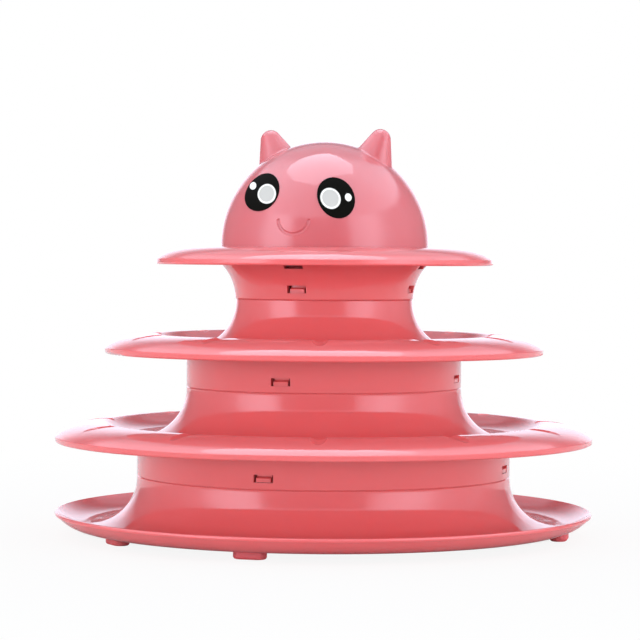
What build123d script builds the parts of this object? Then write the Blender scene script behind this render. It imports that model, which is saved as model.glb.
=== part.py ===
"""Three-level ball track tower for cats, topped with a cat's head.

Millimetres, +Z up, the origin on the floor at the tower's axis, the face towards -Y.
"""

import math
import os

from build123d import *

os.makedirs("parts", exist_ok=True)

# Tower: radii of the levels and the common wall
rim_r = 125.0
tier_step = 22.9
track_width = 38.0
wall = 2.0

# Ball channel: hub wall, curved floor, collar under it
groove_r = 21.6
hub_straight = 1.0
collar_h = 16.4
foot_h = 3.6

# Base rim
rim_rise = 6.1
base_flat = 1.6

# Canopy: from the channel's ridge down to the lip
ridge_rise = 6.2
canopy_run = 23.1
lip_drop = 0.3
lip_h = 1.6
lip_overrun = 1.4
lip_round = 0.5
ridge_wall = 4.0
ridge_round = 5.0

# Notches across the ridge
notch_count = 11
notch_r = 5.8
notch_depth = 1.2
notch_tilt = -4.0
notch_back = 6.0

# Snap joint: spigot, hooks, windows and the seam's bevels
snap_count = 4
snap_fit = 0.2
spigot_h = 7.5
spigot_wall = 1.8
spigot_lead = 0.6
gusset_angle = 14.0
seam_bevel = 0.35
window_w = 9.0
window_h = 3.5
window_sill = 3.1
hook_w = 6.8
hook_h = 2.5
hook_flat = 1.7
hook_tip_gap = 0.25
hook_play = 0.15
flex_slot_w = 1.2
flex_slot_sill = 0.8

# Brim: flared neck, canopy and the seat of the head
brim_step = 23.6
brim_rise = 5.8
brim_run = 20.5
brim_wall = 2.2
flare_run = 21.0
flare_rise = 21.6
neck_step = 0.5
neck_straight = 0.4
neck_cone_h = 5.5

# Head: dome, seat ring, spigot, ears and smile
head_overhang = 6.8
head_lift = 0.6
head_seat_w = 5.5
head_spigot_h = 9.8
head_spigot_gap = 0.9
head_window_drop = 0.2
head_hook_reach = 2.4
seat_ring_h = 3.6
ear_tip_r = 5.0
ear_rise = 7.5
ear_angle = 28.5
ear_lean = 20.4
ear_half_angle = 22.8
ear_length = 24.0
ear_depth_ratio = 0.8
ear_round = 1.2
smile_r = 7.4
smile_w = 1.8
smile_depth = 0.6
smile_elevation = 14.6
smile_end = 8.0

# Eye stickers
left_eye_azimuth = -26.9
left_eye_elevation = 30.5
left_eye_h = 18.6
left_eye_w = 23.6
left_eye_lean = -34.0
right_eye_azimuth = 24.2
right_eye_elevation = 26.8
right_eye_h = 21.0
right_eye_w = 16.9
right_eye_lean = 12.0
decal_t = 0.25
decal_glue = 0.05

# Foot pads and the bosses that carry them
front_pad_angle = -90.0
right_pad_angle = 7.0
rear_pad_angle = 116.0
left_pad_angle = 225.0
pad_l = 15.0
pad_w = 8.0
pad_inset = 4.6
right_pad_inset = -2.0
pad_round = 1.2
boss_margin = 0.6
boss_depth = 1.4

# Balls and their rattle beads
ball_side_play = 4.3
ball_gap = 0.3
ball_wall = 1.6
lap_h = 2.0
lap_fit = 0.1
ball_bevel = 0.3
bead_r = 4.0
bead_gap = 0.3

# Sizes that follow from the above
tier_pitch = groove_r + hub_straight + collar_h + wall
spigot_inset = wall + snap_fit
ball_r = groove_r - ball_side_play


def hub_radius(level):
    """Radius of the hub wall, and of the collar that stands on it."""
    return rim_r - level * tier_step - track_width


def floor_height(level):
    """Height of the channel floor's lowest line."""
    return foot_h + wall + level * tier_pitch


def seam_height(level):
    """Height of the shoulder where the next moulding's collar stands."""
    return floor_height(level) + groove_r + hub_straight


def radial_plane(angle):
    """Upright plane through the axis: local x points outward at the angle, local y points up."""
    a = math.radians(angle)
    outward = (math.cos(a), math.sin(a), 0)
    across = (math.sin(a), -math.cos(a), 0)
    return Plane(origin=(0, 0, 0), x_dir=outward, z_dir=across)


def even_angles(count, start):
    """Angles of a full round of evenly spaced features."""
    return [start + i * 360 / count for i in range(count)]


snap_angles = even_angles(snap_count, 0)
notch_angles = even_angles(notch_count, 90)


def draw_hub(level):
    """Outline from under the channel floor, over the hub and its spigot, down to the channel floor."""
    hub_r = hub_radius(level)
    curve_z = floor_height(level) + groove_r
    seam_z = seam_height(level)
    spigot_out = hub_r - spigot_inset
    spigot_in = spigot_out - spigot_wall
    under = CenterArc((hub_r + groove_r, curve_z), groove_r + wall, 270, gusset_angle - 90)
    Polyline(
        under @ 1,
        (spigot_in, seam_z - wall),
        (spigot_in, seam_z + spigot_h),
        (spigot_out - spigot_lead, seam_z + spigot_h),
        (spigot_out, seam_z + spigot_h - spigot_lead),
        (spigot_out, seam_z),
        (hub_r - seam_bevel, seam_z),
        (hub_r, seam_z - seam_bevel),
        (hub_r, curve_z),
    )
    CenterArc((hub_r + groove_r, curve_z), groove_r, 180, 90)


def add_snap_hooks(level):
    """Four hooks on a hub's spigot, each on a tongue between two flex slots."""
    seam_z = seam_height(level)
    spigot_out = hub_radius(level) - spigot_inset
    hook_low = seam_z + window_sill + hook_play
    hook_out = hub_radius(level) - hook_tip_gap
    with BuildSketch(*[radial_plane(a) for a in snap_angles]) as hooks:
        with BuildLine():
            Polyline(
                (spigot_out - spigot_wall / 2, hook_low),
                (hook_out, hook_low),
                (hook_out, hook_low + hook_flat),
                (spigot_out, hook_low + hook_h),
                (spigot_out - spigot_wall / 2, hook_low + hook_h),
                close=True,
            )
        make_face()
    extrude(hooks.sketch, amount=hook_w / 2, both=True)
    slot_h = spigot_h - flex_slot_sill
    slot_y = (hook_w + flex_slot_w) / 2
    with Locations((0, 0, seam_z + flex_slot_sill + slot_h / 2)):
        with PolarLocations(spigot_out - spigot_wall / 2, snap_count):
            with Locations((0, slot_y, 0), (0, -slot_y, 0)):
                Box(2 * spigot_wall, flex_slot_w, slot_h, mode=Mode.SUBTRACT)


def cut_snap_windows(inner_r, outer_r, sill_z):
    """Four windows through the wall between two radii."""
    with Locations((0, 0, sill_z + window_h / 2)):
        with PolarLocations((inner_r + outer_r) / 2, snap_count):
            Box(outer_r - inner_r, window_w, window_h, mode=Mode.SUBTRACT)


def draw_collar(level):
    """Section of the collar that stands on the hub of a level, up into the floor above it."""
    collar_r = hub_radius(level)
    seam_z = seam_height(level)
    Polyline(
        (collar_r - wall, seam_z),
        (collar_r - seam_bevel, seam_z),
        (collar_r, seam_z + seam_bevel),
        (collar_r, floor_height(level + 1) - wall / 2),
        (collar_r - wall, floor_height(level + 1) - wall / 2),
        close=True,
    )


def draw_canopy(ridge_r, ridge_z, lip_r, nose_z):
    """Top of a canopy, part of an oval, and its lip: an upright edge with a full round under it."""
    reach = lip_r - ridge_r
    oval_w = reach + lip_overrun
    end_angle = math.acos(reach / oval_w)
    oval_h = (ridge_z - nose_z) / (1 - math.sin(end_angle))
    arc_size = math.degrees(end_angle) - 90
    edge_z = nose_z - lip_h
    EllipticalCenterArc((ridge_r, ridge_z - oval_h), oval_w, oval_h, 90, arc_size=arc_size)
    Line((lip_r, nose_z), (lip_r, edge_z))
    CenterArc((lip_r - wall / 2, edge_z), wall / 2, 0, -180)
    Line((lip_r - wall, edge_z), (lip_r - wall, nose_z))


def find_circle(part, z, height):
    """Widest circular edge of a part within half a height of z."""
    circles = part.edges().filter_by(GeomType.CIRCLE)
    near = circles.filter_by_position(Axis.Z, z - height / 2, z + height / 2)
    return near.sort_by(SortBy.RADIUS)[-1]


def make_tier(name, level):
    """Tier moulding: collar, ball channel, ridge with notches, canopy, hub and spigot."""
    lip_r = rim_r - (level - 1) * tier_step
    collar_r = hub_radius(level - 1)
    ridge_r = lip_r - canopy_run
    floor_r = hub_radius(level) + groove_r
    floor_z = floor_height(level)
    ridge_z = floor_z + ridge_rise
    nose_z = floor_z - lip_drop
    under_rise = ridge_z - ridge_wall - nose_z
    with BuildPart() as tier:
        with BuildSketch(Plane.XZ):
            with BuildLine():
                draw_hub(level)
                TangentArc((floor_r, floor_z), (ridge_r, ridge_z), tangent=(1, 0))
                draw_canopy(ridge_r, ridge_z, lip_r, nose_z)
                EllipticalCenterArc((ridge_r, nose_z), canopy_run - wall, under_rise, 0, arc_size=90)
                TangentArc((floor_r, floor_z - wall), (ridge_r, ridge_z - ridge_wall), tangent=(1, 0))
            make_face()
            with BuildLine():
                draw_collar(level - 1)
            make_face()
        revolve(axis=Axis.Z)
        fillet(find_circle(tier, ridge_z, ridge_wall / 2), ridge_round)
        fillet(find_circle(tier, nose_z, lip_h / 2), lip_round)
        tilt = math.radians(notch_tilt)
        notch_planes = []
        for angle in notch_angles:
            a = math.radians(angle)
            start_r = ridge_r - notch_back
            start_z = ridge_z - notch_depth + notch_r - notch_back * math.tan(tilt)
            outward = (math.cos(a) * math.cos(tilt), math.sin(a) * math.cos(tilt), math.sin(tilt))
            start = (start_r * math.cos(a), start_r * math.sin(a), start_z)
            notch_planes.append(Plane(origin=start, x_dir=(-math.sin(a), math.cos(a), 0), z_dir=outward))
        with BuildSketch(*notch_planes):
            Circle(notch_r)
        extrude(amount=canopy_run, mode=Mode.SUBTRACT)
        cut_snap_windows(collar_r - 2 * wall, collar_r + wall, seam_height(level - 1) + window_sill)
        add_snap_hooks(level)
    tier.part.label = name
    export_step(tier.part, f"parts/{name}.step")


def make_pad_slot(plane, margin):
    """Stadium outline shared by a foot pad and its boss."""
    with BuildSketch(plane) as slot:
        SlotOverall(pad_l + 2 * margin, pad_w + 2 * margin, rotation=90)
    return slot.sketch


def pad_location(angle, inset):
    """Centre of a foot pad on the floor, its long side along the rim."""
    pad_r = hub_radius(0) + groove_r - inset
    return Location((0, 0, 0), (0, 0, angle)) * Location((pad_r, 0, 0))


# Base tray: dish with a rounded rim, hub and spigot, bosses for the pads
foot_pads = {
    "front_foot_pad": pad_location(front_pad_angle, pad_inset),
    "right_foot_pad": pad_location(right_pad_angle, right_pad_inset),
    "rear_foot_pad": pad_location(rear_pad_angle, pad_inset),
    "left_foot_pad": pad_location(left_pad_angle, pad_inset),
}
base_floor_r = hub_radius(0) + groove_r
base_floor_z = floor_height(0)
rim_edge = (rim_r - wall / 2, base_floor_z + rim_rise - wall / 2)
with BuildPart() as base_tray:
    with BuildSketch(Plane.XZ):
        with BuildLine():
            draw_hub(0)
            rim_top = (rim_edge[0], rim_edge[1] + wall / 2)
            rim_under = (rim_edge[0], rim_edge[1] - wall / 2)
            flat_end = (base_floor_r + base_flat, foot_h)
            TangentArc((base_floor_r, base_floor_z), rim_top, tangent=(1, 0))
            CenterArc(rim_edge, wall / 2, 90, -180)
            TangentArc(flat_end, rim_under, tangent=(1, 0))
            Line(flat_end, (base_floor_r, foot_h))
        make_face()
    revolve(axis=Axis.Z)
    add_snap_hooks(0)
    for pad_place in foot_pads.values():
        boss_plane = Plane(pad_place).offset(foot_h)
        extrude(make_pad_slot(boss_plane, boss_margin), amount=boss_depth)
base_tray.part.label = "base_tray"
export_step(base_tray.part, "parts/base_tray.step")

# Foot pads: rounded stadium blocks stuck under the bosses
for pad_name, pad_place in foot_pads.items():
    with BuildPart() as foot_pad:
        extrude(make_pad_slot(Plane(pad_place), 0), amount=foot_h)
        fillet(foot_pad.faces().sort_by(Axis.Z)[0].edges(), pad_round)
    foot_pad.part.label = pad_name
    export_step(foot_pad.part, f"parts/{pad_name}.step")

make_tier("lower_tier", 1)
make_tier("upper_tier", 2)

# Top brim: neck with two rows of windows, canopy, bore for the head's spigot
neck_r = hub_radius(2) + neck_step
neck_in = hub_radius(2) - wall
neck_z = seam_height(2)
flare_z = neck_z + neck_straight
brim_under_z = flare_z + flare_rise
seat_z = brim_under_z + brim_wall
brim_nose_z = seat_z - brim_rise
brim_lip_r = rim_r - tier_step - brim_step
brim_ridge_r = brim_lip_r - brim_run
flare_r = neck_r + flare_run
head_r = neck_r + head_overhang
head_spigot_r = head_r - head_seat_w
head_spigot_z = seat_z - head_spigot_h
head_bore_r = head_spigot_r + snap_fit
head_bore_z = head_spigot_z - head_spigot_gap
head_window_z = head_spigot_z - head_window_drop
with BuildPart() as top_brim:
    with BuildSketch(Plane.XZ):
        with BuildLine():
            Polyline(
                (head_bore_r, seat_z),
                (head_bore_r, head_bore_z),
                (neck_in, head_bore_z - neck_cone_h),
                (neck_in, neck_z),
                (neck_r - seam_bevel, neck_z),
                (neck_r, flare_z),
            )
            EllipticalCenterArc((flare_r, flare_z), flare_run, flare_rise, 180, arc_size=-90)
            EllipticalCenterArc(
                (flare_r, brim_nose_z),
                brim_lip_r - wall - flare_r,
                brim_under_z - brim_nose_z,
                90,
                arc_size=-90,
            )
            draw_canopy(brim_ridge_r, seat_z, brim_lip_r, brim_nose_z)
            Line((brim_ridge_r, seat_z), (head_bore_r, seat_z))
        make_face()
    revolve(axis=Axis.Z)
    fillet(find_circle(top_brim, brim_nose_z, lip_h / 2), lip_round)
    cut_snap_windows(neck_in - wall, flare_r, neck_z + window_sill)
    cut_snap_windows(head_bore_r - wall, flare_r, head_window_z)
top_brim.part.label = "top_brim"
export_step(top_brim.part, "parts/top_brim.step")

# Head: hollow dome with hollow ears, an engraved smile, and a spigot with hooks
head_z = seat_z + head_lift
head_spigot_in = head_spigot_r - spigot_wall
head_hook_top = head_window_z + window_h - hook_play
head_hook_out = head_bore_r + head_hook_reach
head_seat_r = math.sqrt(head_r**2 - head_lift**2)


def face_direction(azimuth, elevation):
    """Unit vector from the dome's centre; azimuth 0 is the middle of the face, positive to +X."""
    a = math.radians(azimuth)
    e = math.radians(elevation)
    return Vector(math.sin(a) * math.cos(e), -math.cos(a) * math.cos(e), math.sin(e))


def make_ear(inset):
    """Blunt cone leaning outward over +X, flattened front to back; inset shrinks it evenly."""
    lean = math.radians(ear_lean)
    flank = math.radians(ear_half_angle)
    place = math.radians(ear_angle)
    reach = head_r + ear_rise
    tip = (reach * math.sin(place), 0, head_z + reach * math.cos(place))
    ear_plane = Plane(origin=tip, x_dir=(math.cos(lean), 0, -math.sin(lean)), z_dir=(0, -1, 0))
    tip_r = ear_tip_r - inset
    side = (tip_r * math.cos(flank), tip_r * math.sin(flank))
    foot_x = side[0] + (ear_length + side[1]) * math.tan(flank)
    with BuildPart() as ear:
        with BuildSketch(ear_plane):
            with BuildLine():
                CenterArc((0, 0), tip_r, 90, ear_half_angle - 90)
                Polyline(side, (foot_x, -ear_length), (0, -ear_length), (0, tip_r))
            make_face()
        revolve(axis=Axis(tip, (math.sin(lean), 0, math.cos(lean))))
        scale(by=(1, ear_depth_ratio, 1))
    return ear.part


# Smile: cutter for a rounded groove along a half circle that lies on the dome
smile_lift = smile_w / 2 - smile_depth
smile_reach = math.sqrt(head_r**2 - smile_r**2) + smile_lift
smile_dir = face_direction(0, smile_elevation)
smile_centre = Vector(0, 0, head_z) + smile_dir * smile_reach
with BuildPart() as smile:
    with BuildLine(Plane(origin=smile_centre, x_dir=(1, 0, 0), z_dir=smile_dir)) as smile_line:
        CenterArc((0, 0), smile_r, 180 + smile_end, 180 - 2 * smile_end)
    with BuildSketch(Plane(origin=smile_line.line @ 0, z_dir=smile_line.line % 0)):
        Circle(smile_w / 2)
    sweep()
    with Locations(smile_line.line @ 0, smile_line.line @ 1):
        Sphere(smile_w / 2)

ear = make_ear(0)
ear_hollow = make_ear(wall)
with BuildPart() as head_shell:
    with Locations((0, 0, head_z)):
        Sphere(head_r)
    add(ear)
    add(mirror(ear, about=Plane.YZ, mode=Mode.PRIVATE))
    dome_edges = head_shell.edges().filter_by_position(Axis.Z, head_z, head_z + head_r)
    fillet([e for e in dome_edges if e.geom_type not in (GeomType.CIRCLE, GeomType.LINE)], ear_round)
    with Locations((0, 0, head_z)):
        Sphere(head_r - wall, mode=Mode.SUBTRACT)
    add(ear_hollow, mode=Mode.SUBTRACT)
    add(mirror(ear_hollow, about=Plane.YZ, mode=Mode.PRIVATE), mode=Mode.SUBTRACT)
    split(bisect_by=Plane.XY.offset(seat_z), keep=Keep.TOP)
    add(smile.part, mode=Mode.SUBTRACT)
    with BuildSketch(Plane.XZ):
        with BuildLine():
            Polyline(
                (head_seat_r, seat_z),
                (head_seat_r - wall / 2, seat_z + seat_ring_h),
                (head_spigot_in, seat_z + seat_ring_h),
                (head_spigot_in, head_spigot_z),
                (head_spigot_r - spigot_lead, head_spigot_z),
                (head_spigot_r, head_spigot_z + spigot_lead),
                (head_spigot_r, seat_z),
                close=True,
            )
        make_face()
    revolve(axis=Axis.Z)
    with BuildSketch(*[radial_plane(a) for a in snap_angles]):
        with BuildLine():
            Polyline(
                (head_spigot_r - spigot_wall / 2, head_hook_top),
                (head_hook_out, head_hook_top),
                (head_hook_out, head_hook_top - hook_flat),
                (head_spigot_r, head_hook_top - hook_h),
                (head_spigot_r - spigot_wall / 2, head_hook_top - hook_h),
                close=True,
            )
        make_face()
    extrude(amount=hook_w / 2, both=True)
    head_slot_h = head_spigot_h - flex_slot_sill
    head_slot_y = (hook_w + flex_slot_w) / 2
    with Locations((0, 0, head_spigot_z + head_slot_h / 2)):
        with PolarLocations(head_spigot_r - spigot_wall / 2, snap_count):
            with Locations((0, head_slot_y, 0), (0, -head_slot_y, 0)):
                Box(2 * spigot_wall, flex_slot_w, head_slot_h, mode=Mode.SUBTRACT)
head_shell.part.label = "head_shell"
export_step(head_shell.part, "parts/head_shell.step")


def make_eye(name, azimuth, elevation, width, height, lean):
    """Thin oval sticker that follows the dome, turned about its middle by the lean."""
    eye_plane = Plane(
        origin=(0, 0, head_z),
        x_dir=(math.cos(math.radians(azimuth)), math.sin(math.radians(azimuth)), 0),
        z_dir=face_direction(azimuth, elevation),
    )
    with BuildPart() as eye_decal:
        with BuildSketch(eye_plane):
            Ellipse(width / 2, height / 2, rotation=lean)
        extrude(amount=head_r + wall)
        with Locations((0, 0, head_z)):
            Sphere(head_r + decal_glue + decal_t, mode=Mode.INTERSECT)
            Sphere(head_r + decal_glue, mode=Mode.SUBTRACT)
    eye_decal.part.label = name
    export_step(eye_decal.part, f"parts/{name}.step")


make_eye(
    "left_eye_decal",
    left_eye_azimuth,
    left_eye_elevation,
    left_eye_w,
    left_eye_h,
    left_eye_lean,
)
make_eye(
    "right_eye_decal",
    right_eye_azimuth,
    right_eye_elevation,
    right_eye_w,
    right_eye_h,
    right_eye_lean,
)

# Balls: two half shells with a lap joint around the rolling axis, and a loose bead at the bottom
ball_in = ball_r - ball_wall
lap_r = ball_r - ball_wall / 2
recess_y = -lap_h - lap_fit
recess_in = math.sqrt(ball_in**2 - recess_y**2)
bevel_angle = math.degrees(math.asin(ball_bevel / ball_r))
for level, ball_name in enumerate(("lower_ball", "middle_ball", "top_ball")):
    centre = Vector(0, hub_radius(level) + groove_r, floor_height(level) + ball_gap + ball_r)
    ball_plane = Plane(origin=centre, x_dir=(1, 0, 0), z_dir=(0, 0, 1))
    ball_axis = Axis(centre, (0, 1, 0))

    with BuildPart() as outer_half:
        with BuildSketch(ball_plane):
            with BuildLine():
                skin = CenterArc((0, 0), ball_r, bevel_angle, 90 - bevel_angle)
                Line((0, ball_r), (0, ball_in))
                CenterArc((0, 0), ball_in, 90, -90)
                Polyline(
                    (ball_in, 0),
                    (ball_in, -lap_h),
                    (lap_r - lap_fit, -lap_h),
                    (lap_r - lap_fit, 0),
                    (ball_r - ball_bevel, 0),
                    skin @ 0,
                )
            make_face()
        revolve(axis=ball_axis)
    outer_half.part.label = f"{ball_name}_outer_half"
    export_step(outer_half.part, f"parts/{ball_name}_outer_half.step")

    recess_angle = math.degrees(math.asin(recess_y / ball_in))
    with BuildPart() as inner_half:
        with BuildSketch(ball_plane):
            with BuildLine():
                skin = CenterArc((0, 0), ball_r, -bevel_angle, bevel_angle - 90)
                Line((0, -ball_r), (0, -ball_in))
                CenterArc((0, 0), ball_in, -90, 90 + recess_angle)
                Polyline(
                    (recess_in, recess_y),
                    (lap_r, recess_y),
                    (lap_r, 0),
                    (ball_r - ball_bevel, 0),
                    skin @ 0,
                )
            make_face()
        revolve(axis=ball_axis)
    inner_half.part.label = f"{ball_name}_inner_half"
    export_step(inner_half.part, f"parts/{ball_name}_inner_half.step")

    with BuildPart() as bead:
        with Locations(centre - Vector(0, 0, ball_in - bead_gap - bead_r)):
            Sphere(bead_r)
    bead.part.label = f"{ball_name}_bead"
    export_step(bead.part, f"parts/{ball_name}_bead.step")
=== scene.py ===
"""Looks of the three-level ball track tower: camera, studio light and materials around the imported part."""

import math

import bpy
from mathutils import Matrix, Vector

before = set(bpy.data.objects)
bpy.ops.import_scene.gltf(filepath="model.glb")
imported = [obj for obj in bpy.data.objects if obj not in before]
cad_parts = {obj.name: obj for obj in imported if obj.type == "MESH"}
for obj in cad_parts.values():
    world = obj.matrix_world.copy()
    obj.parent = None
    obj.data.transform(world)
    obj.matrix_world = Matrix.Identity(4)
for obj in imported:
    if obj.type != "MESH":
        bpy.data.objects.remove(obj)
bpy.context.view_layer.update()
scene = bpy.context.scene
scene.view_settings.view_transform = "Standard"

# Camera: a long lens in front of the tower, a little to the right of the face
CAMERA_AZIMUTH = math.radians(17.5)
CAMERA_DISTANCE = 1.1803
CAMERA_HEIGHT = 0.12925
CAMERA_PITCH = 0.0245
CAMERA_YAW = 0.00166
CAMERA_ROLL = 0.0058
CAMERA_LENS = 142.1
SENSOR_WIDTH = 36.0

# Light that falls on the object: even around the horizon, weaker from above
LOW_LIGHT = 4.0
HIGH_LIGHT = 0.9
LIGHT_TINT = (0.98, 1.0, 1.06, 1.0)
LIGHT_EDGE = (0.08, 0.30)
WHITE = (1.0, 1.0, 1.0, 1.0)

# Studio as it mirrors in the plastic: azimuths in degrees from the camera, positive to its right
MIRROR_PEAK = 8.0
MIRROR_TINT = (0.97, 1.0, 1.16, 1.0)
MIRROR_LOW = (
    (-180, 1.45),
    (-162, 1.4),
    (-149, 0.15),
    (-118, 0.3),
    (-100, 0.55),
    (-82, 1.25),
    (-66, 3.7),
    (-52, 4.4),
    (-43, 3.9),
    (-33, 0.75),
    (-18, 0.42),
    (14, 0.38),
    (24, 0.75),
    (34, 2.9),
    (50, 4.0),
    (60, 3.7),
    (76, 1.8),
    (92, 1.05),
    (106, 0.85),
    (120, 0.38),
    (148, 0.12),
    (162, 1.35),
    (180, 1.45),
)
MIRROR_HIGH = (
    (-180, 0.75),
    (-158, 0.8),
    (-138, 2.0),
    (-105, 3.2),
    (-50, 2.6),
    (0, 1.6),
    (50, 2.7),
    (105, 3.0),
    (138, 2.0),
    (158, 0.8),
    (180, 0.75),
)
BACK_SIDE = 155
BACK_DARK = 0.3
BACK_EDGE = (0.18, 0.46)
MIRROR_TOP = 2.6
MIRROR_EDGE = (0.46, 0.56)
TOP_EDGE = (0.80, 0.97)

# Lamp face overhead: metres to the camera's right and away from it
TOP_BOX_HEIGHT = 1.2
TOP_BOX_GLOSS = 4.9
TOP_BOX_CORNERS = (
    (-0.56, 0.26),
    (-0.44, 0.43),
    (-0.29, 0.53),
    (0.04, 0.64),
    (0.21, 0.45),
    (0.35, 0.34),
    (0.42, 0.04),
    (-0.18, -0.42),
    (-0.52, -0.14),
)

# Floor: its share of plain white near the tower, and the distances over which it becomes all white
FLOOR_SIZE = 6.0
FLOOR_COLOR = (0.86, 0.86, 0.86, 1.0)
FLOOR_WHITE = 0.90
FLOOR_FADE = (0.16, 0.55)

# Colours, linear
PINK = (0.745, 0.122, 0.125, 1.0)
PINK_DEEP = (0.725, 0.116, 0.119, 1.0)
# Head pinks: the tower's plastic made paler and less red, a painted sheen standing in for the top light on
# the dome
HEAD_PINK_PAINTED_SHEEN = (0.585, 0.118, 0.133, 1.0)
HEAD_DEEP_PAINTED_SHEEN = (0.565, 0.112, 0.127, 1.0)
PAD_PINK = (0.72, 0.125, 0.148, 1.0)
EYE_BLACK = (0.004, 0.004, 0.0032, 1.0)
EYE_DARK = (0.007, 0.007, 0.0058, 1.0)
EYE_WHITE = (0.88, 0.90, 0.87, 1.0)
EYE_GREY = (0.55, 0.56, 0.535, 1.0)
BALL_CREAM = (0.84, 0.80, 0.72, 1.0)
BALL_SHADE = (0.80, 0.75, 0.66, 1.0)
STEEL = (0.62, 0.62, 0.64, 1.0)
STEEL_DARK = (0.5, 0.5, 0.52, 1.0)

# Noise: scale (features to a metre) and detail, then the values it is mapped from; heights in metres
NOISE_SPAN = (0.3, 0.7)
FULL_SPAN = (0.0, 1.0)
PLASTIC_IOR = 1.49
PLASTIC_SPECULAR = 0.3
PLASTIC_GLOW = 0.35
PLASTIC_GLOW_DEPTH = 0.004
PLASTIC_GLOW_RADIUS = (1.0, 0.25, 0.2)
PLASTIC_CLOUD = (14.0, 3.0)
PLASTIC_CLOUD_SPAN = (0.35, 0.65)
PLASTIC_PATCH = (45.0, 4.0)
PLASTIC_ROUGHNESS = (0.54, 0.62)
PLASTIC_PEEL = (260.0, 2.0)
PLASTIC_PEEL_HEIGHT = 0.00002
DRAW_MARKS = (1.0, 2.0)
DRAW_STRETCH = (420.0, 420.0, 9.0)
DRAW_HEIGHT = 0.000008
COAT_ROUGHNESS = 0.045
PAD_IOR = 1.48
PAD_GLOW = 0.05
PAD_GLOW_DEPTH = 0.001
PAD_CLOUD = (120.0, 4.0)
PAD_ROUGHNESS = (0.34, 0.5)
PAD_GRAIN = (2200.0, 3.0)
PAD_GRAIN_HEIGHT = 0.00003
BALL_GLOW = 0.15
BALL_GLOW_DEPTH = 0.002
BALL_CLOUD = (70.0, 3.0)
BALL_PATCH = (160.0, 4.0)
BALL_ROUGHNESS = (0.2, 0.32)
BALL_PEEL = (700.0, 2.0)
BALL_PEEL_HEIGHT = 0.00002
STEEL_CLOUD = (900.0, 3.0)
STEEL_ROUGHNESS = (0.18, 0.34)

# Eyes: place on the dome in degrees, and the print's marks in millimetres from the sticker's middle
# (right, up, width, height) with their lean in degrees
MM = 0.001
HEAD_CENTRE = Vector((0.0, 0.0, 0.135))
HEAD_R = 0.0485
EYES = {
    "left_eye_decal": {
        "azimuth": -26.9,
        "elevation": 30.5,
        "disc": (4.5, -1.4, 12.6, 8.8, -34.0),
        "glint": (-7.07, 3.16, 6.6, 3.4, -32.5),
    },
    "right_eye_decal": {
        "azimuth": 24.2,
        "elevation": 26.8,
        "disc": (-2.6, -0.8, 9.0, 10.7, 14.0),
        "glint": (5.5, -0.2, 3.1, 4.0, 0.0),
    },
}
RING_SHARE = 0.82
PRINT_SOFT = 0.03
PRINT_IOR = 1.45
PRINT_SPECULAR = 0.01
PRINT_GRAIN = (1500.0, 2.0)
PRINT_ROUGHNESS = (0.30, 0.40)

# Places of the colour sockets in a Mix node
MIX_FIRST = 6
MIX_SECOND = 7
MIX_RESULT = 2


def from_camera(azimuth):
    """Level unit vector at an azimuth counted from the camera, positive to its right."""
    a = CAMERA_AZIMUTH + math.radians(azimuth)
    return Vector((math.sin(a), -math.cos(a), 0.0))


def link_object(name, data):
    """New object in the scene."""
    obj = bpy.data.objects.new(name, data)
    scene.collection.objects.link(obj)
    return obj


def make_camera():
    """Camera fitted to the photograph's view."""
    data = bpy.data.cameras.new("camera")
    data.lens = CAMERA_LENS
    data.sensor_width = SENSOR_WIDTH
    camera = link_object("camera", data)
    place = from_camera(0.0) * CAMERA_DISTANCE
    place.z = CAMERA_HEIGHT
    turn = Matrix.Rotation(CAMERA_AZIMUTH + CAMERA_YAW, 4, "Z")
    tilt = Matrix.Rotation(math.pi / 2 - CAMERA_PITCH, 4, "X")
    roll = Matrix.Rotation(CAMERA_ROLL, 4, "Z")
    camera.matrix_world = Matrix.Translation(place) @ turn @ tilt @ roll
    scene.camera = camera


def make_top_box():
    """Lamp face overhead: what mirrors in the dome as a bright patch."""
    right = from_camera(90.0)
    away = -from_camera(0.0)
    up = Vector((0.0, 0.0, TOP_BOX_HEIGHT))
    corners = [right * x + away * y + up for x, y in TOP_BOX_CORNERS]
    mesh = bpy.data.meshes.new("top_box")
    mesh.from_pydata(corners, [], [tuple(range(len(corners)))])
    box = link_object("top_box", mesh)
    box.visible_camera = False
    box.visible_shadow = False
    box.visible_diffuse = False
    material = bpy.data.materials.new("lamp_face")
    material.use_nodes = True
    nodes = material.node_tree.nodes
    nodes.clear()
    emission = nodes.new("ShaderNodeEmission")
    emission.inputs["Color"].default_value = MIRROR_TINT
    emission.inputs["Strength"].default_value = TOP_BOX_GLOSS
    output = nodes.new("ShaderNodeOutputMaterial")
    material.node_tree.links.new(emission.outputs[0], output.inputs["Surface"])
    mesh.materials.append(material)


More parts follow.
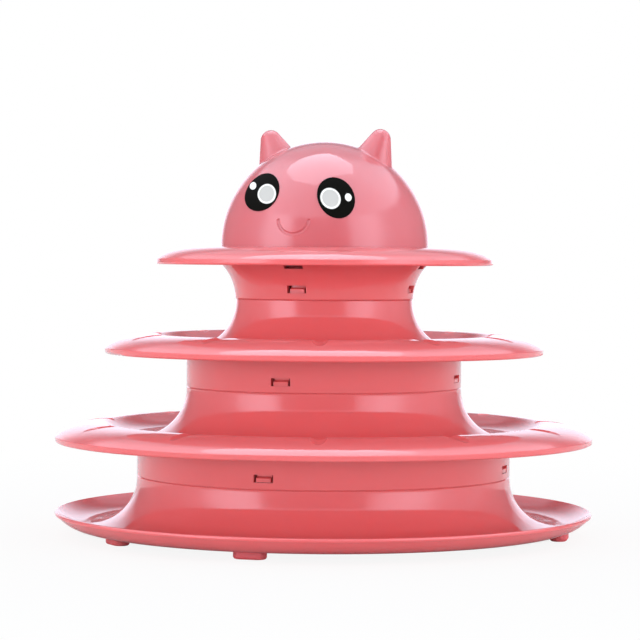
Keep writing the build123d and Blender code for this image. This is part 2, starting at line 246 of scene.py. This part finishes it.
def make_world():
    """White to the camera, an even tent as light, and a studio with two tall soft boxes in reflections."""
    world = bpy.data.worlds.new("studio")
    scene.world = world
    world.use_nodes = True
    nodes = world.node_tree.nodes
    links = world.node_tree.links
    nodes.clear()

    def background(colour):
        node = nodes.new("ShaderNodeBackground")
        node.inputs["Color"].default_value = colour
        return node

    def feed(value, socket):
        if isinstance(value, float):
            socket.default_value = value
        else:
            links.new(value, socket)

    def math_node(operation, first, second):
        node = nodes.new("ShaderNodeMath")
        node.operation = operation
        feed(first, node.inputs[0])
        feed(second, node.inputs[1])
        return node.outputs[0]

    def blend(value, edge, low, high):
        node = nodes.new("ShaderNodeMapRange")
        node.interpolation_type = "SMOOTHSTEP"
        node.inputs["From Min"].default_value = edge[0]
        node.inputs["From Max"].default_value = edge[1]
        feed(low, node.inputs["To Min"])
        feed(high, node.inputs["To Max"])
        feed(value, node.inputs["Value"])
        return node.outputs["Result"]

    def mix(share, first, second):
        node = nodes.new("ShaderNodeMixShader")
        links.new(share, node.inputs[0])
        links.new(first.outputs[0], node.inputs[1])
        links.new(second.outputs[0], node.inputs[2])
        return node

    coords = nodes.new("ShaderNodeTexCoord")
    split = nodes.new("ShaderNodeSeparateXYZ")
    links.new(coords.outputs["Generated"], split.inputs[0])
    height = split.outputs["Z"]
    turned = nodes.new("ShaderNodeMapping")
    turned.inputs["Rotation"].default_value = (0.0, 0.0, math.pi / 2 - CAMERA_AZIMUTH)
    links.new(coords.outputs["Generated"], turned.inputs["Vector"])
    around = nodes.new("ShaderNodeTexGradient")
    around.gradient_type = "RADIAL"
    links.new(turned.outputs["Vector"], around.inputs["Vector"])

    def ring(stops):
        ramp = nodes.new("ShaderNodeValToRGB")
        elements = ramp.color_ramp.elements
        ready = len(elements)
        for index, (azimuth, level) in enumerate(stops):
            place = azimuth / 360 + 0.5
            stop = elements[index] if index < ready else elements.new(place)
            stop.position = place
            grey = level / MIRROR_PEAK
            stop.color = (grey, grey, grey, 1.0)
        links.new(around.outputs["Fac"], ramp.inputs["Fac"])
        return math_node("MULTIPLY", ramp.outputs["Color"], MIRROR_PEAK)

    tent = background(LIGHT_TINT)
    links.new(blend(height, LIGHT_EDGE, LOW_LIGHT, HIGH_LIGHT), tent.inputs["Strength"])
    mirrored = background(MIRROR_TINT)
    upper = blend(height, TOP_EDGE, ring(MIRROR_HIGH), MIRROR_TOP)
    sides = [(azimuth, BACK_DARK if abs(azimuth) > BACK_SIDE else level) for azimuth, level in MIRROR_LOW]
    middle = blend(height, MIRROR_EDGE, ring(sides), upper)
    links.new(blend(height, BACK_EDGE, ring(MIRROR_LOW), middle), mirrored.inputs["Strength"])

    path = nodes.new("ShaderNodeLightPath")
    either = math_node("MAXIMUM", path.outputs["Is Glossy Ray"], path.outputs["Is Transmission Ray"])
    lit = mix(either, tent, mirrored)
    seen = mix(path.outputs["Is Camera Ray"], lit, background(WHITE))
    output = nodes.new("ShaderNodeOutputWorld")
    links.new(seen.outputs[0], output.inputs["Surface"])


def make_floor():
    """Pale table top that stays white to the camera and keeps a faint shadow."""
    half = FLOOR_SIZE / 2
    corners = [(-half, -half, 0), (half, -half, 0), (half, half, 0), (-half, half, 0)]
    mesh = bpy.data.meshes.new("floor")
    mesh.from_pydata(corners, [], [(0, 1, 2, 3)])
    floor = link_object("floor", mesh)
    material = bpy.data.materials.new("table_white")
    material.use_nodes = True
    nodes = material.node_tree.nodes
    links = material.node_tree.links
    nodes.clear()
    diffuse = nodes.new("ShaderNodeBsdfDiffuse")
    diffuse.inputs["Color"].default_value = FLOOR_COLOR
    glow = nodes.new("ShaderNodeEmission")
    path = nodes.new("ShaderNodeLightPath")
    coords = nodes.new("ShaderNodeTexCoord")
    reach = nodes.new("ShaderNodeVectorMath")
    reach.operation = "LENGTH"
    links.new(coords.outputs["Object"], reach.inputs[0])
    fade = nodes.new("ShaderNodeMapRange")
    fade.interpolation_type = "SMOOTHSTEP"
    fade.inputs["From Min"].default_value = FLOOR_FADE[0]
    fade.inputs["From Max"].default_value = FLOOR_FADE[1]
    fade.inputs["To Min"].default_value = FLOOR_WHITE
    links.new(reach.outputs["Value"], fade.inputs["Value"])
    share = nodes.new("ShaderNodeMath")
    share.operation = "MULTIPLY"
    links.new(path.outputs["Is Camera Ray"], share.inputs[0])
    links.new(fade.outputs["Result"], share.inputs[1])
    mix = nodes.new("ShaderNodeMixShader")
    links.new(share.outputs[0], mix.inputs[0])
    links.new(diffuse.outputs[0], mix.inputs[1])
    links.new(glow.outputs[0], mix.inputs[2])
    output = nodes.new("ShaderNodeOutputMaterial")
    links.new(mix.outputs[0], output.inputs["Surface"])
    mesh.materials.append(material)


class Shader:
    """Material with a Principled shader and short calls for the nodes that feed it."""

    def __init__(self, name):
        self.material = bpy.data.materials.new(name)
        self.material.use_nodes = True
        self.tree = self.material.node_tree
        self.surface = self.tree.nodes["Principled BSDF"]
        coords = self.tree.nodes.new("ShaderNodeTexCoord")
        self.coords = coords.outputs["Object"]

    def node(self, kind):
        return self.tree.nodes.new(kind)

    def link(self, output, socket):
        self.tree.links.new(output, socket)

    def set(self, **values):
        """Values that are the same all over the surface."""
        for name, value in values.items():
            self.surface.inputs[name.replace("_", " ")].default_value = value

    def feed(self, **outputs):
        """Values that vary over the surface."""
        for name, output in outputs.items():
            self.link(output, self.surface.inputs[name.replace("_", " ")])

    def stretched(self, scale):
        """Object coordinates, stretched."""
        mapping = self.node("ShaderNodeMapping")
        mapping.inputs["Scale"].default_value = scale
        self.link(self.coords, mapping.inputs["Vector"])
        return mapping.outputs["Vector"]

    def noise(self, grain, vector=None):
        """Grey noise of a scale and a detail."""
        noise = self.node("ShaderNodeTexNoise")
        noise.inputs["Scale"].default_value = grain[0]
        noise.inputs["Detail"].default_value = grain[1]
        self.link(vector or self.coords, noise.inputs["Vector"])
        return noise.outputs["Fac"]

    def ranged(self, value, span, result, smooth=False):
        """Value mapped from one span to another."""
        ranged = self.node("ShaderNodeMapRange")
        if smooth:
            ranged.interpolation_type = "SMOOTHSTEP"
        ranged.inputs["From Min"].default_value = span[0]
        ranged.inputs["From Max"].default_value = span[1]
        ranged.inputs["To Min"].default_value = result[0]
        ranged.inputs["To Max"].default_value = result[1]
        self.link(value, ranged.inputs["Value"])
        return ranged.outputs["Result"]

    def mixed(self, share, first, second):
        """Colour mixed from two by a share; the first is a colour or a socket."""
        mix = self.node("ShaderNodeMix")
        mix.data_type = "RGBA"
        self.link(share, mix.inputs["Factor"])
        if isinstance(first, tuple):
            mix.inputs[MIX_FIRST].default_value = first
        else:
            self.link(first, mix.inputs[MIX_FIRST])
        mix.inputs[MIX_SECOND].default_value = second
        return mix.outputs[MIX_RESULT]

    def bump(self, height, distance, normal=None):
        """Bump of a height in metres."""
        bump = self.node("ShaderNodeBump")
        bump.inputs["Distance"].default_value = distance
        self.link(height, bump.inputs["Height"])
        if normal is not None:
            self.link(normal, bump.inputs["Normal"])
        return bump.outputs["Normal"]

    def oval(self, centre, turn, half_width, half_height):
        """Mask of an oval: 1 inside, 0 outside, its edge soft over a share of its size."""
        mapping = self.node("ShaderNodeMapping")
        mapping.vector_type = "TEXTURE"
        mapping.inputs["Location"].default_value = centre
        mapping.inputs["Rotation"].default_value = turn.to_euler()
        mapping.inputs["Scale"].default_value = (half_width, half_height, 1.0)
        self.link(self.coords, mapping.inputs["Vector"])
        length = self.node("ShaderNodeVectorMath")
        length.operation = "LENGTH"
        self.link(mapping.outputs["Vector"], length.inputs[0])
        edge = (1.0 - PRINT_SOFT, 1.0 + PRINT_SOFT)
        return self.ranged(length.outputs["Value"], edge, (1.0, 0.0), smooth=True)


def make_pink(name, colour, deep):
    """Glossy moulded plastic: slightly uneven colour, orange peel, faint draw marks along the walls."""
    shader = Shader(name)
    shader.set(
        IOR=PLASTIC_IOR,
        Specular_IOR_Level=PLASTIC_SPECULAR,
        Subsurface_Weight=PLASTIC_GLOW,
        Subsurface_Scale=PLASTIC_GLOW_DEPTH,
        Subsurface_Radius=PLASTIC_GLOW_RADIUS,
        Coat_Weight=1.0,
        Coat_Roughness=COAT_ROUGHNESS,
        Coat_IOR=PLASTIC_IOR,
    )
    shade = shader.ranged(shader.noise(PLASTIC_CLOUD), PLASTIC_CLOUD_SPAN, FULL_SPAN)
    gloss = shader.ranged(shader.noise(PLASTIC_PATCH), NOISE_SPAN, PLASTIC_ROUGHNESS)
    peel = shader.noise(PLASTIC_PEEL)
    draw = shader.noise(DRAW_MARKS, shader.stretched(DRAW_STRETCH))
    normal = shader.bump(peel, PLASTIC_PEEL_HEIGHT, shader.bump(draw, DRAW_HEIGHT))
    shader.feed(
        Base_Color=shader.mixed(shade, deep, colour),
        Roughness=gloss,
        Normal=normal,
        Coat_Normal=normal,
    )
    return shader.material


def make_pad():
    """Soft pink pad: matt, finely grained."""
    shader = Shader("foot_rubber")
    shader.set(IOR=PAD_IOR, Subsurface_Weight=PAD_GLOW, Subsurface_Scale=PAD_GLOW_DEPTH)
    cloud = shader.noise(PAD_CLOUD)
    shader.feed(
        Base_Color=shader.mixed(cloud, PAD_PINK, PINK_DEEP),
        Roughness=shader.ranged(cloud, NOISE_SPAN, PAD_ROUGHNESS),
        Normal=shader.bump(shader.noise(PAD_GRAIN), PAD_GRAIN_HEIGHT),
    )
    return shader.material


def make_ball():
    """Smooth light plastic of the balls."""
    shader = Shader("ball_plastic")
    shader.set(IOR=PLASTIC_IOR, Subsurface_Weight=BALL_GLOW, Subsurface_Scale=BALL_GLOW_DEPTH)
    shader.feed(
        Base_Color=shader.mixed(shader.noise(BALL_CLOUD), BALL_SHADE, BALL_CREAM),
        Roughness=shader.ranged(shader.noise(BALL_PATCH), NOISE_SPAN, BALL_ROUGHNESS),
        Normal=shader.bump(shader.noise(BALL_PEEL), BALL_PEEL_HEIGHT),
    )
    return shader.material


def make_steel():
    """Plain rattle bead."""
    shader = Shader("bead_steel")
    shader.set(Metallic=1.0)
    cloud = shader.noise(STEEL_CLOUD)
    shader.feed(
        Base_Color=shader.mixed(cloud, STEEL, STEEL_DARK),
        Roughness=shader.ranged(cloud, NOISE_SPAN, STEEL_ROUGHNESS),
    )
    return shader.material


def make_eye(name, eye):
    """Printed sticker: black oval with a white-ringed grey disc and a white glint."""
    azimuth = math.radians(eye["azimuth"])
    elevation = math.radians(eye["elevation"])
    level = math.cos(elevation)
    out = Vector((math.sin(azimuth) * level, -math.cos(azimuth) * level, math.sin(elevation)))
    right = Vector((math.cos(azimuth), math.sin(azimuth), 0.0))
    up = out.cross(right)
    axes = Matrix((right, up, out)).transposed()
    middle = HEAD_CENTRE + out * HEAD_R
    shader = Shader(f"{name}_print")
    shader.set(IOR=PRINT_IOR, Specular_IOR_Level=PRINT_SPECULAR)

    def mark(spot, share):
        u, v, width, height, lean = spot
        centre = middle + right * (u * MM) + up * (v * MM)
        turn = axes @ Matrix.Rotation(math.radians(lean), 3, "Z")
        return shader.oval(centre, turn, width * share * MM / 2, height * share * MM / 2)

    grain = shader.noise(PRINT_GRAIN)
    colour = shader.mixed(grain, EYE_BLACK, EYE_DARK)
    colour = shader.mixed(mark(eye["disc"], 1.0), colour, EYE_WHITE)
    colour = shader.mixed(mark(eye["disc"], RING_SHARE), colour, EYE_GREY)
    colour = shader.mixed(mark(eye["glint"], 1.0), colour, EYE_WHITE)
    shader.feed(Base_Color=colour, Roughness=shader.ranged(grain, NOISE_SPAN, PRINT_ROUGHNESS))
    return shader.material


def dress_nodes():
    """A material for every moulding, sticker, pad, ball half and bead."""
    pink = make_pink("pink_plastic", PINK, PINK_DEEP)
    # The head's copy of the plastic carries a painted sheen of the top light in its colours
    painted_sheen_head = make_pink("head_plastic_painted_sheen", HEAD_PINK_PAINTED_SHEEN, HEAD_DEEP_PAINTED_SHEEN)
    pad = make_pad()
    ball = make_ball()
    steel = make_steel()
    for name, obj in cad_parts.items():
        if name in EYES:
            material = make_eye(name, EYES[name])
        elif name == "head_shell":
            material = painted_sheen_head
        elif name.endswith("_pad"):
            material = pad
        elif name.endswith("_half"):
            material = ball
        elif name.endswith("_bead"):
            material = steel
        else:
            material = pink
        obj.data.materials.clear()
        obj.data.materials.append(material)


make_camera()
make_top_box()
make_world()
make_floor()
dress_nodes()
